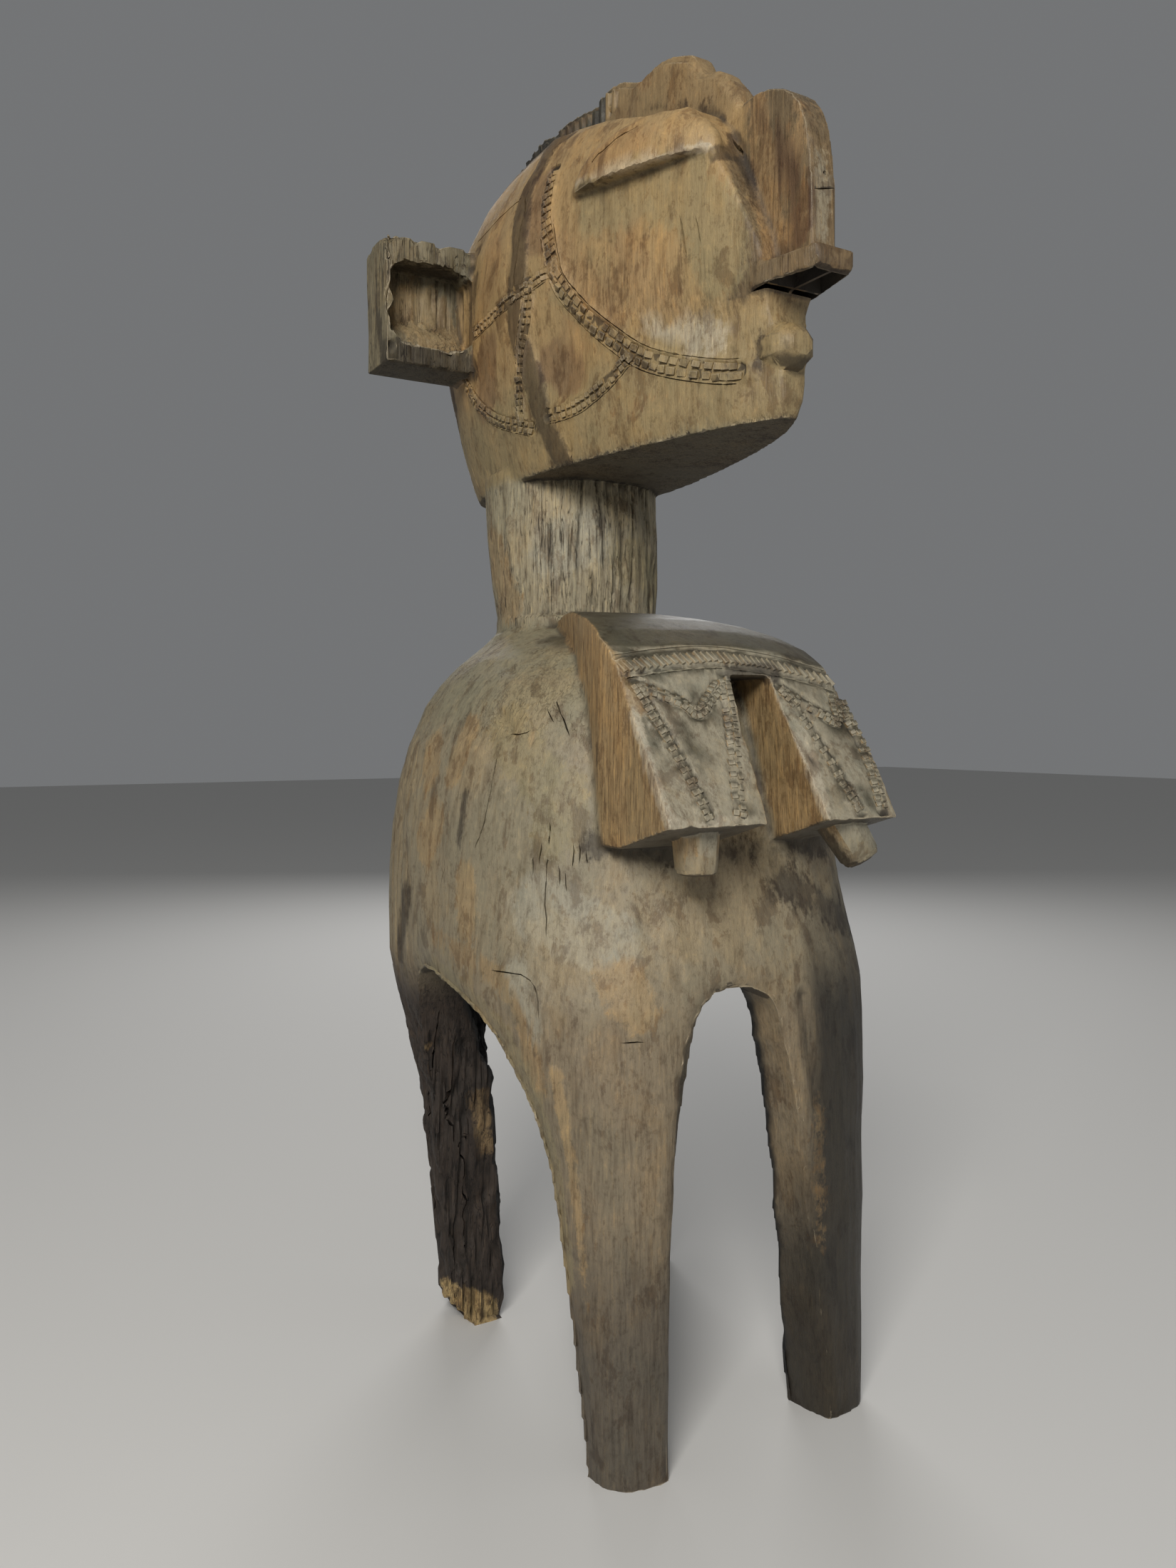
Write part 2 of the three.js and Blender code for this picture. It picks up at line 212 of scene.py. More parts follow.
# The cup of an ear is worn round, and its floor rises towards its lower lip
u, w = (np.abs(x) - 0.1395) / 0.0385, (z - 1.010) / 0.033
rim = (u**4 + w**4) ** 0.25
cup = ear * (y < 0.172)
push = 0.0055 * cup * soft(rim, 0.6, 0.98) * (1 - soft(rim, 1.04, 1.2)) / np.maximum(rim, 0.3)
at[:, 0] += np.sign(x) * push * u * 0.9
at[:, 2] += push * w * 1.4
at[:, 1] -= 0.55 * cup * (rim < 1.1) * soft(-w, 0.1, 1.1) * np.clip(y - 0.1345, 0, 1)

lobe = crest * soft(z, 1.12, 1.15)
at[:, 2] += 0.009 * lobe * soft(y, -0.135, -0.115) * (1 - soft(y, -0.075, -0.03))
at[:, 2] -= 0.006 * lobe * soft(y, -0.155, -0.14) * (1 - soft(y, -0.136, -0.12))
lift = 0.0010 * lumps(at, (0.11, 0.11, 0.16), 1)
deep = 0.0016 * body * (1 - chest) + 0.0030 * inside * (z > 0.39) + 0.0007 * head
lift += deep * plain * (scoops(at, (0.032, 0.032, 0.06)) - 0.3)
lift += 0.0003 * plain * (scoops(at, (0.014, 0.014, 0.025)) - 0.3)

# Doorway outlines: the right and left ones as (y, z), the front and back ones as (x, z)
RIGHT_DOOR = [
    (-161, 0), (-154, 60), (-146, 130), (-139, 200), (-130, 250), (-118, 288), (-102, 318), (-80, 343), (-50, 360),
    (-13, 371), (25, 380), (50, 379), (68, 366), (82, 335), (92, 280), (96, 200), (98, 120), (98, 0),
]
LEFT_DOOR = [
    (-158, 0), (-152, 60), (-144, 130), (-136, 200), (-126, 250), (-112, 290), (-92, 322), (-58, 350), (-10, 367),
    (25, 374), (56, 370), (82, 352), (102, 318), (114, 270), (122, 200), (126, 120), (128, 0),
]
FRONT_DOOR = [
    (-84, 0), (-84, 140), (-81, 240), (-78, 300), (-70, 343), (-60, 370), (-46, 386), (-26, 390),
    (-4, 387), (12, 380), (22, 366), (29, 334), (38, 300), (48, 240), (64, 140), (84, 0),
]
BACK_DOOR = [
    (-84, 0), (-80, 140), (-70, 250), (-54, 315), (-32, 348), (0, 360),
    (32, 348), (54, 315), (70, 250), (80, 140), (84, 0),
]
for door, across, faces, width, fall in (
    (RIGHT_DOOR, (1, 2), -broad[:, 0], 0.024, 0.0045),
    (LEFT_DOOR, (1, 2), broad[:, 0], 0.022, 0.004),
    (FRONT_DOOR, (0, 2), -broad[:, 1], 0.011, 0.003),
    (BACK_DOOR, (0, 2), broad[:, 1], 0.016, 0.003),
):
    off = away(at[:, across], curve(door), 0.04)
    width = width * (0.75 + 0.25 * lumps(at, (0.05, 0.05, 0.08), 3))
    lift -= fall * np.clip(1 - off / width, 0, 1) * soft(faces, 0.25, 0.6) * (1 - broken_leg) * (z < 0.42)

# Adze marks along lines in millimetres, each after its rise and its reach
MARKS = [
    (1.5, 8, [(-4, -189, 468), (2, -193, 446), (10, -197, 424)]),
    (-1.2, 13, [(-24, -189, 466), (-13, -194, 440), (-4, -198, 418)]),
    (1.6, 8, [(-48, -189, 458), (-38, -194, 438), (-24, -198, 418)]),
    (-1.2, 14, [(-66, -186, 452), (-52, -193, 428), (-44, -198, 408)]),
    (1.4, 8, [(-72, -187, 440), (-69, -194, 420), (-64, -198, 398)]),
    (-1.0, 13, [(-92, -180, 444), (-88, -188, 420), (-86, -193, 396)]),
    (1.2, 8, [(-104, -174, 452), (-104, -182, 425), (-106, -186, 400)]),
    (-1.0, 12, [(22, -189, 455), (30, -194, 432), (38, -197, 410)]),
    (1.2, 8, [(40, -187, 456), (48, -193, 430), (54, -196, 408)]),
    (-1.4, 6, [(-83, -60, 1074), (-76, -92, 1083), (-71, -110, 1088), (-64, -126, 1092)]),
    (-1.4, 6, [(83, -60, 1074), (76, -92, 1083), (71, -110, 1088), (64, -126, 1092)]),
    (-4.0, 11, [(46, -204, 376), (50, -206, 350), (53, -207, 328), (58, -207, 306), (62, -207, 284)]),
    (-2.2, 8, [(-154, -40, 612), (-153, -50, 606), (-154, -62, 597)]),
    (-1.5, 7, [(-131, -22, 648), (-128, -4, 652), (-120, 12, 657)]),
    (1.2, 7, [(-88, 98, 688), (-79, 68, 693), (-72, 48, 695), (-76, 10, 697)]),
    (1.6, 6, [(-18, -165, 1088), (-45, -160, 1091), (-60, -120, 1101), (-66, -60, 1112)]),
    (1.6, 6, [(18, -165, 1088), (45, -160, 1091), (60, -120, 1101), (66, -60, 1112)]),
    (-1.6, 9, [(-40, -60, 1118), (-32, -110, 1108), (-22, -150, 1098)]),
    (-1.6, 9, [(40, -60, 1118), (32, -110, 1108), (22, -150, 1098)]),
]
for rise, reach, line in MARKS:
    lift += rise / 1000 * (1 - soft(away(at, curve(line), reach / 1000), 0, reach / 1000))

# Bands on the side of the head as (y, z) and on the chest as (x, z), each after its width, in millimetres
TEMPLE_TO_MOUTH = [
    (3, 1099), (1, 1072), (-3, 1045), (-18, 997), (-47, 962), (-82, 931), (-113, 908), (-146, 893), (-187, 880),
    (-208, 876),
]
HEAD_BANDS = [
    (15, TEMPLE_TO_MOUTH),
    (12, [(128, 988), (78, 993), (36, 999), (-2, 1006)]),
    (12, [(19, 1004), (24, 974), (36, 942), (43, 905), (45, 886)]),
    (12, [(155, 947), (133, 925), (108, 907), (80, 893), (32, 877)]),
    (12, [(2, 882), (-36, 883), (-72, 894), (-101, 911)]),
]
CHEST_BANDS = [
    (15, [(-117, 646), (-77, 652), (-32, 656), (6, 654), (46, 649), (99, 639)]),
    (13, [(-109, 632), (-96, 592), (-82, 533)]),
    (13, [(-25, 640), (-34, 597), (-55, 532)]),
    (12, [(-105, 631), (-74, 620), (-60, 611), (-46, 622), (-32, 633)]),
    (13, [(32, 632), (45, 607), (60, 557), (67, 534)]),
    (13, [(98, 622), (98, 576), (91, 533)]),
    (12, [(34, 630), (68, 611), (83, 604), (88, 615), (92, 630)]),
]
HAIR = [
    (37, 1140), (33, 1116), (40, 1094), (37, 1066), (35, 1025), (39, 990), (37, 958), (23, 926), (14, 890),
    (2, 858), (-8, 841),
]
flank = head * soft(np.abs(out[:, 0]), 0.3, 0.5) * (1 - ear) * (1 - crest)
on_band = np.zeros(len(at))
for width, line in HEAD_BANDS:
    off = away(at[:, 1:], curve(line), 0.02)
    on_band = np.maximum(on_band, (1 - soft(off, width / 2000 - 0.0005, width / 2000 + 0.0015)) * flank)
lift -= 0.0031 * on_band
hair = (1 - soft(away(at[:, 1:], curve(HAIR), 0.02), 0.0105, 0.0135)) * flank
lift += (0.0014 + 0.0008 * lumps(at, (0.02, 0.015, 0.03), 5)) * hair * (1 - on_band)
front = chest * soft(-out[:, 1], 0.3, 0.5)
on_chest_band = np.zeros(len(at))
for width, line in CHEST_BANDS:
    off = away(at[:, (0, 2)], curve(line), 0.02)
    on_chest_band = np.maximum(on_chest_band, (1 - soft(off, width / 2000 - 0.0005, width / 2000 + 0.0015)) * front)
lift -= 0.0018 * on_chest_band
pocket = 1 - soft(np.hypot(y + 0.022, (z - 0.932) * 0.9), 0.018, 0.05)
panel = 1 - soft(np.hypot((y - 0.088) * 0.8, z - 0.945), 0.016, 0.045)
lift -= (0.003 * pocket + 0.0018 * panel) * flank * (1 - on_band)

# The weathering. Rain and handling opened the grain: deep upright furrows on the front of the neck, grooves on the
# ears and the chest's sides, and a hind leg eaten away to a torn tip. The ears' and crest's edges are chipped.
furrows = 1 - soft(np.abs(lumps(at, (0.011, 0.011, 0.16), 11)), 0, 0.22)
fine_furrows = 1 - soft(np.abs(lumps(at, (0.007, 0.007, 0.09), 12)), 0, 0.25)
open_side = soft(0.87 * x - 0.5 * (y - 0.1), -0.03, 0.03)
lift -= furrows * upright * (neck * (0.0005 + 0.0030 * open_side) + 0.0034 * broken_leg + 0.0012 * ear)
lift -= fine_furrows * upright * (0.0008 * neck + 0.0010 * ear + 0.0016 * broken_leg + 0.0003 * body + 0.0001 * head)
hip = soft(-x, 0.15, 0.185) * soft(y, 0.02, 0.12) * (z > 0.36) * (z < 0.6)
lift -= 0.0014 * hip * furrows
eaten = lumps(at, (0.022, 0.022, 0.05), 13) + 0.5 * lumps(at, (0.01, 0.01, 0.018), 14)
lift -= 0.0085 * broken_leg * np.maximum(0, eaten + 0.05)
torn = broken_leg * (1 - soft(z, 0.02, 0.06)) * soft(-x, 0.09, 0.11)
lift += 0.006 * torn * lumps(at, (0.005, 0.005, 0.05), 15)

chipped = [
    (5.0, 13, [(-188, 134, 1071), (-150, 134, 1071), (-84, 134, 1071)]),
    (3.0, 9, [(-188, 134, 1071), (-188, 192, 1071)]),
    (3.0, 9, [(-188, 134, 951), (-188, 134, 1071)]),
    (4.0, 10, [(-188, 134, 951), (-84, 134, 951)]),
    (5.0, 12, [(188, 134, 1071), (84, 134, 1071)]),
    (3.0, 9, [(188, 134, 951), (188, 134, 1071)]),
    (3.5, 9, [(188, 134, 951), (84, 134, 951)]),
    (6.0, 13, [(-182, 135, 1050), (-140, 135, 1053), (-101, 135, 1050)]),
    (4.5, 10, [(-183, 135, 1050), (-183, 135, 972)]),
    (4.5, 10, [(-184, 135, 968), (-101, 135, 968)]),
    (6.0, 13, [(182, 135, 1050), (140, 135, 1053), (101, 135, 1050)]),
    (4.5, 10, [(184, 135, 968), (101, 135, 968)]),
    (3.0, 8, [(-120, -252, 526), (-75, -252, 522), (-30, -252, 526)]),
    (3.0, 8, [(30, -252, 526), (75, -252, 520), (106, -245, 520)]),
    (2.4, 7, [(31, -251, 529), (34, -225, 573), (24, -190, 640)]),
    (2.0, 6, [(0, 20, 1196), (0, 70, 1197), (0, 130, 1202), (0, 180, 1197), (0, 232, 1160), (0, 262, 1110)]),
    (2.6, 8, [(-20, -284, 936), (0, -288, 934), (20, -284, 936)]),
    (2.0, 6, [(-141, -203, 2), (-84, -203, 2)]),
    (2.0, 6, [(141, -203, 2), (84, -203, 2)]),
]
bites = np.maximum(0, lumps(at, (0.016, 0.016, 0.02), 16) + 0.5 * lumps(at, (0.006, 0.006, 0.012), 17))
for depth, reach, line in chipped:
    lift -= depth / 1000 * 1.6 * bites * (1 - soft(away(at, curve(line), reach / 1000), 0.001, reach / 1000))

level = (z < 0.0012) & (out[:, 2] < -0.7)
out = mean(out)
out /= np.maximum(np.linalg.norm(out, axis=1), 1e-6)[:, None]
at += out * lift[:, None]
at[level, 2] = 0
at[:, 2] = np.maximum(at[:, 2], 0)
write(mask.data, at)

# Edges stand proud of their surroundings and hollows lie below them. Both are kept on the mesh for the stain, and the
# hollows are darkened there as painted shade.
smoothed = at.copy()
for _ in range(12):
    smoothed += 0.5 * (mean(smoothed) - smoothed)
out = read(mask.data, "normal")
proud = np.einsum("ij,ij->i", at - smoothed, out)


def keep(mesh, name, values):
    layer = mesh.attributes.get(name) or mesh.attributes.new(name, "FLOAT", "POINT")
    layer.data.foreach_set("value", values.astype(np.float32))


keep(mask.data, "proud", proud * 1000)
keep(mask.data, "inside", inside)
keep(mask.data, "band", np.maximum(on_band, on_chest_band))
TRIANGLES = 128000
now = sum(len(f.vertices) - 2 for f in mask.data.polygons)
shaped(mask, "DECIMATE", ratio=TRIANGLES / now)

# The blocks of the bands. Each band is two rows of small square pads cut with a chisel, or slanting bars on top of
# the chest. They are worn and uneven, and each is set on the carved surface where a ray along X or Y meets it.
chooser = random.Random(7)
surface = BVHTree.FromPolygons([v.co for v in mask.data.vertices], [tuple(f.vertices) for f in mask.data.polygons])
pads = bmesh.new()


def spot(side, u, v):
    """Where a band's place meets the wood: on a side of the head, or on the front of the chest when side is 0."""
    start, aim = (Vector((side * 0.3, u, v)), Vector((-side, 0, 0))) if side else (Vector((u, -0.4, v)), Vector((0, 1, 0)))
    found, facing, *_ = surface.ray_cast(start, aim)
    return found, facing


def pad(side, line, share, across, length, width, slant, rise, loose):
    """One block: share is its place along the line from 0 to 1, across its distance from the middle of the band."""
    k = share * (len(line) - 1)
    i = min(int(k), len(line) - 2)
    u, v = line[i] + (line[i + 1] - line[i]) * (k - i)
    du, dv = (line[i + 1] - line[i]) / np.linalg.norm(line[i + 1] - line[i])
    u, v = u - dv * across, v + du * across
    found, facing = spot(side, u, v)
    ahead, _ = spot(side, u + du * 0.004, v + dv * 0.004)
    if found is None or ahead is None or (ahead - found).length > 0.012:
        return
    if facing.dot(Vector((side, -1 if side == 0 else 0, 0))) < 0.35:
        return
    along = (ahead - found).normalized()
    up = (facing - along * facing.dot(along)).normalized()
    turn = Matrix((along, up.cross(along), up)).transposed().to_4x4()
    jitter = Matrix.Rotation(loose * chooser.uniform(-0.13, 0.13) + slant, 4, "Z")
    jitter @= Matrix.Rotation(loose * chooser.uniform(0.02, 0.28), 4, "Y")
    jitter @= Matrix.Rotation(loose * chooser.uniform(-0.12, 0.12), 4, "X")
    top = rise * chooser.uniform(0.6, 1.15)
    size = Matrix.Diagonal((length * chooser.uniform(0.82, 1.04), width * chooser.uniform(0.84, 1.04), top + 0.005, 1))
    lie = Matrix.Translation((0, 0, (top - 0.005) / 2))
    bmesh.ops.create_cube(pads, size=1, matrix=Matrix.Translation(found) @ turn @ jitter @ lie @ size)


def rows(side, line, pitch, offsets, width, gap=0.0012, slant=0.0, miss=0.03, rise=0.0024, loose=1.0):
    """Rows of pads along a line, their pitch given at its start and at its end."""
    path = curve(line, 90)
    length = np.linalg.norm(np.diff(path, axis=0), axis=1).sum()
    done = 0.5 * pitch[0]
    while done < length:
        share = done / length
        step = pitch[0] + (pitch[1] - pitch[0]) * share
        for offset in offsets:
            if chooser.random() > miss:
                pad(side, path, share, offset, step - gap, width, slant, rise, loose)
        done += step


for side in (-1, 1):
    rows(side, TEMPLE_TO_MOUTH[:3] + [(-10, 1020)], (0.0064, 0.0068), (-0.0037 * side, 0.0037 * side), 0.0064, slant=0.12)
    rows(side, [(-12, 1014), *TEMPLE_TO_MOUTH[3:]], (0.0074, 0.0102), (-0.0038, 0.0038), 0.0062)
    for _, line in HEAD_BANDS[1:]:
        rows(side, line, (0.0060, 0.0062), (-0.0030, 0.0030), 0.0048, miss=0.07)
rows(0, CHEST_BANDS[0][1], (0.0062, 0.0062), (0.0,), 0.0126, gap=0.0018, slant=0.3, rise=0.0018, loose=0.5)
for k in (1, 2, 4, 5):
    rows(0, CHEST_BANDS[k][1], (0.0062, 0.0062), (-0.0029, 0.0029), 0.0052, gap=0.0015, slant=0.2, rise=0.0015, loose=0.5)
for k in (3, 6):
    rows(0, CHEST_BANDS[k][1], (0.0058, 0.0058), (-0.0028, 0.0028), 0.0048, rise=0.0013, loose=0.5)
bmesh.ops.bevel(
    pads, geom=list(pads.edges), offset=0.0004, offset_type="OFFSET", segments=1, profile=0.5, affect="EDGES", material=-1
)


def knob(place, aim, rings, turn=math.pi / 8):
    """An eight-sided knob: rings gives its half width and height, from its root to its tip, in millimetres."""
    stand = Vector(aim).to_track_quat("Z", "Y").to_matrix().to_4x4()
    stand = Matrix.Translation(Vector(place) / 1000) @ stand @ Matrix.Rotation(turn, 4, "Z")
    loops = []
    for half, height in rings:
        level = stand @ Matrix.Translation((0, 0, height / 1000))
        made = bmesh.ops.create_circle(pads, segments=8, radius=half / 1000, matrix=level)["verts"]
        loops.append(list(dict.fromkeys(edge for corner in made for edge in corner.link_edges)))
    for one, two in zip(loops[:-1], loops[1:]):
        bmesh.ops.bridge_loops(pads, edges=one + two)
    for loop in (loops[0], loops[-1]):
        bmesh.ops.contextual_create(pads, geom=loop)


knob((-3, -232, 889), (0, -1, 0), [(17.4, -20), (20, 8), (17, 16.5), (9.5, 23.5)])
knob((-73, -218, 512), (0.03, 0, -1), [(20.5, -24), (17, 20), (12.5, 25.5), (5, 27)])
knob((73, -225, 512), (0.45, -0.25, -0.85), [(20.5, -24), (17, 20), (12.5, 25.5), (5, 27)])
bmesh.ops.recalc_face_normals(pads, faces=pads.faces)
chips = bpy.data.objects.new("pads", bpy.data.meshes.new("pads"))
pads.to_mesh(chips.data)
pads.free()
bpy.context.scene.collection.objects.link(chips)
shaped(mask, "BOOLEAN", operation="UNION", solver="MANIFOLD", object=chips)
bpy.data.objects.remove(chips)

# Cracks, slits and incised lines. The wood has dried and split along its grain, worms and pegs left holes, and a
# knife drew the lines that border the bands. Each is cut with a blade drawn along its line.
blades = bmesh.new()


def blade(line, width, depth, torn=0.25):
    """Cuts along a line on the surface: a wedge, wide at the surface and closed at its ends and its foot."""
    points = [Vector(p) for p in line]
    rings = []
    for i, p in enumerate(points):
        found, facing, *_ = surface.find_nearest(p)
        along = (points[min(i + 1, len(points) - 1)] - points[max(i - 1, 0)]).normalized()
        across = along.cross(facing).normalized() * width / 2
        ends = i in (0, len(points) - 1)
        share = 0.12 if ends else 1 + torn * (2 * chooser.random() - 1)
        ring = [
            found + across * share + facing * 0.002,
            found - across * share + facing * 0.002,
            found - facing * depth * (0.3 if ends else 1),
        ]
        rings.append([blades.verts.new(q) for q in ring])
    blades.faces.new(rings[0])
    blades.faces.new(rings[-1][::-1])
    for one, two in zip(rings[:-1], rings[1:]):
        for k in range(3):
            blades.faces.new((one[k], two[k], two[(k + 1) % 3], one[(k + 1) % 3]))


def wander(points, sway, step=0.006):
    """A line in millimetres made to wander a little from side to side, as a split does."""
    line = curve(points, max(4, int(np.linalg.norm(np.diff(np.array(points, float), axis=0), axis=1).sum() / 1000 / step)))
    return line + sway * np.array([noise.noise_vector(Vector(p) * 90) for p in line.tolist()])


# Width and depth of each crack, then its line, all in millimetres
CRACKS = [
    (1.6, 9, [(-164, -58, 577), (-172, -60, 545), (-177, -56, 514), (-182, -49, 497)]),
    (1.3, 8, [(-188, -4, 479), (-189, 4, 462), (-190, 11, 442)]),
    (1.3, 8, [(-146, -119, 523), (-149, -122, 501), (-153, -123, 472), (-156, -130, 432)]),
    (1.3, 7, [(-182, -82, 399), (-176, -105, 400), (-169, -120, 399), (-166, -132, 388), (-166, -137, 367)]),
    (1.0, 6, [(-185, -23, 497), (-183, -25, 520), (-180, -27, 543)]),
    (1.6, 6, [(-158, -111, 496), (-158, -111, 480)]),
    (1.4, 6, [(-153, -116, 506), (-154, -116, 488)]),
    (1.6, 6, [(-149, -122, 508), (-149, -122, 492)]),
    (1.4, 6, [(-145, -131, 490), (-145, -133, 472)]),
    (1.3, 5, [(-142, -136, 484), (-142, -138, 468)]),
    (1.6, 7, [(-136, -138, 507), (-136, -138, 487)]),
    (1.4, 7, [(-132, -141, 507), (-132, -141, 490)]),
    (1.3, 6, [(-128, -145, 503), (-128, -147, 488)]),
    (1.7, 8, [(-126, -92, 622), (-125, -100, 608), (-124, -112, 592)]),
    (1.4, 7, [(-131, -86, 615), (-130, -96, 602)]),
    (1.6, 8, [(-145, -82, 597), (-149, -76, 593), (-154, -64, 594)]),
    (1.9, 8, [(-50, -159, 1008), (-50, -164, 990), (-49, -167, 973)]),
    (1.6, 7, [(-46, -175, 1004), (-46, -179, 990), (-45, -181, 977)]),
    (2.6, 12, [(-88, 41, 1092), (-89, 32, 1071), (-93, 36, 1053), (-95, 38, 1031), (-98, 40, 1010), (-99, 38, 990)]),
    (1.7, 10, [(-86, 46, 1091), (-86, 89, 1090), (-86, 149, 1086)]),
    (1.7, 8, [(-72, 212, 938), (-76, 208, 915), (-81, 201, 895)]),
    (1.4, 8, [(-80, 190, 884), (-77, 178, 862), (-76, 172, 846)]),
    (1.4, 6, [(-74, -24, 852), (-71, -19, 838)]),
    (1.4, 7, [(-10, -276, 994), (0, -276, 996), (11, -276, 998)]),
    (1.7, 9, [(0, -271, 1042), (0, -272, 1030), (1, -273, 1018)]),
    (1.4, 8, [(-121, -186, 355), (-112, -192, 355), (-103, -195, 355)]),
    (1.7, 10, [(-158, 92, 330), (-160, 96, 280), (-157, 100, 230), (-150, 104, 170)]),
    (1.9, 10, [(-140, 80, 300), (-142, 84, 240), (-140, 86, 190)]),
    (1.9, 10, [(-128, 90, 200), (-127, 92, 140), (-124, 94, 80)]),
    (1.6, 9, [(-148, 130, 240), (-146, 134, 180), (-140, 138, 110)]),
    (1.4, 8, [(60, 262, 560), (62, 268, 500), (58, 272, 440)]),
    (1.6, 9, [(-60, 262, 540), (-66, 268, 480), (-64, 270, 420)]),
    (1.4, 8, [(176, 60, 560), (184, 64, 500), (186, 62, 440)]),
    (1.3, 8, [(172, -60, 545), (180, -60, 500), (184, -62, 452)]),
    (1.6, 8, [(40, 222, 900), (42, 236, 960), (44, 246, 1020)]),
    (1.4, 8, [(-30, 232, 880), (-34, 246, 940), (-34, 254, 990)]),
    (1.9, 5, [(-83, -66, 1074), (-80, -80, 1081), (-74, -100, 1087), (-66, -122, 1091)]),
    (1.0, 4, [(-81, -84, 1079), (-76, -100, 1084), (-71, -112, 1086)]),
    (1.9, 5, [(83, -66, 1074), (80, -80, 1081), (74, -100, 1087), (66, -122, 1091)]),
    (2.4, 9, [(-15, -182, 1066), (-14, -190, 1056), (-14, -194, 1046)]),
    (2.4, 9, [(15, -182, 1066), (14, -190, 1056), (14, -194, 1046)]),
]
# The nostrils are two hollows under the wings of the nose, with a thin septum between them
for side in (-1, 1):
    for levels in (
        [(920, 27.0, 240, 15.4, 282), (934, 27.0, 240, 15.4, 282), (948, 20, 244, 11, 270)],
        [(931.6, 27.4, 208, 26.6, 242), (948, 20, 214, 20, 246)],
    ):
        dug = []
        for z, wide, back, narrow, front in levels:
            for x, y in ((wide, back), (wide, 231), (narrow, front), (1.3, front), (1.3, back)):
                if back <= y:
                    dug.append(blades.verts.new((side * x / 1000, -y / 1000, z / 1000)))
        bmesh.ops.convex_hull(blades, input=dug)
peg = bmesh.ops.create_icosphere(blades, subdivisions=1, radius=0.002)["verts"]
bmesh.ops.translate(blades, verts=peg, vec=(0.002, -0.272, 1.008))
for width, depth, line in CRACKS:
    blade(wander(line, 0.0016), width / 1000, depth / 1000)


def drawn(side, line, offset):
    """A knife line that keeps to one side of a band."""
    path = curve(line, 48)
    along = np.gradient(path, axis=0)
    along /= np.linalg.norm(along, axis=1)[:, None]
    path = path + offset * np.stack([-along[:, 1], along[:, 0]], 1)
    found = [spot(side, u, v)[0] for u, v in path]
    return [p for p in found if p is not None]


for side in (-1, 1):
    for offset in (-0.0096, 0.0096):
        blade(drawn(side, TEMPLE_TO_MOUTH[2:], offset), 0.0018, 0.0024, 0.1)
    for _, line in HEAD_BANDS[1:]:
        blade(drawn(side, line, 0.0076), 0.0013, 0.0018, 0.1)
for offset in (-0.0094, 0.0094):
    blade(drawn(0, CHEST_BANDS[0][1], offset), 0.0016, 0.002, 0.1)
bmesh.ops.recalc_face_normals(blades, faces=blades.faces)
knives = bpy.data.objects.new("blades", bpy.data.meshes.new("blades"))
blades.to_mesh(knives.data)
blades.free()
bpy.context.scene.collection.objects.link(knives)
shaped(mask, "BOOLEAN", operation="DIFFERENCE", solver="MANIFOLD", object=knives)
bpy.data.objects.remove(knives)
shaped(mask, "TRIANGULATE")
mask.data.set_sharp_from_angle(angle=math.radians(36))

# The stain. Old handled wood: grey-brown outside, orange where it is rubbed raw, near black with smoke and damp on
# the eaten leg. The hollow inside is painted near black as its shade. The broad tones, the marks and painted
# highlights, the soot and the painted shade are painted by place, and the nodes break up their borders and add the
# streaks of the grain, cracks, dust and the shine of many hands, and darken pits, cuts and the nostrils near black as
# painted shade.
TONES = {
    "cheek": (156, 130, 90),
    "olive": (136, 124, 92),
    "amber": (147, 120, 84),
    "jaw": (142, 124, 89),
    "panel": (112, 86, 62),
    "burnt": (82, 56, 38),
    "sheen and wear": (176, 166, 146),
    "neck": (146, 136, 112),
    "shoulder": (134, 126, 102),
    "belly": (138, 127, 104),
    "grey and sheen": (150, 146, 130),
    "ochre": (156, 132, 94),
    "chest": (152, 144, 124),
    "chest top": (80, 75, 60),
    "raw": (146, 122, 86),
    "leg": (124, 111, 90),
    "leg foot": (90, 82, 70),
    # painted shade over darker wood: the front left leg, on the side away from the light
    "dark leg": (52, 47, 38),
    "char": (54, 45, 38),
    # painted shade: the hollow inside, near black
    "inside": (12, 13, 14),
    "torn": (206, 178, 124),
    "crest": (139, 117, 83),
    "comb": (76, 71, 57),
    "nose": (108, 92, 68),
    "ear": (114, 105, 83),
}


def linear(tone):
    value = np.array(TONES[tone]) / 255
    return np.where(value <= 0.04045, value / 12.92, ((value + 0.055) / 1.055) ** 2.4)


at = read(mask.data, "co")
out = read(mask.data, "normal")
x, y, z = at.T


def kept(name):
    values = np.empty(len(mask.data.vertices), np.float32)
    mask.data.attributes[name].data.foreach_get("value", values)
    return values.astype(float)


inside = kept("inside")
depth = np.array([(p - hit[0]).dot(hit[1]) for p in map(Vector, at.tolist()) for hit in [surface.find_nearest(p)]])
paint = np.tile(linear("belly"), (len(at), 1))
ragged = lumps(at, (0.02, 0.02, 0.04), 21) + 0.5 * lumps(at, (0.008, 0.008, 0.016), 22)


def brush(tone, weight):
    global paint
    weight = np.clip(weight, 0, 1)[:, None]
    paint = paint * (1 - weight) + linear(tone) * weight


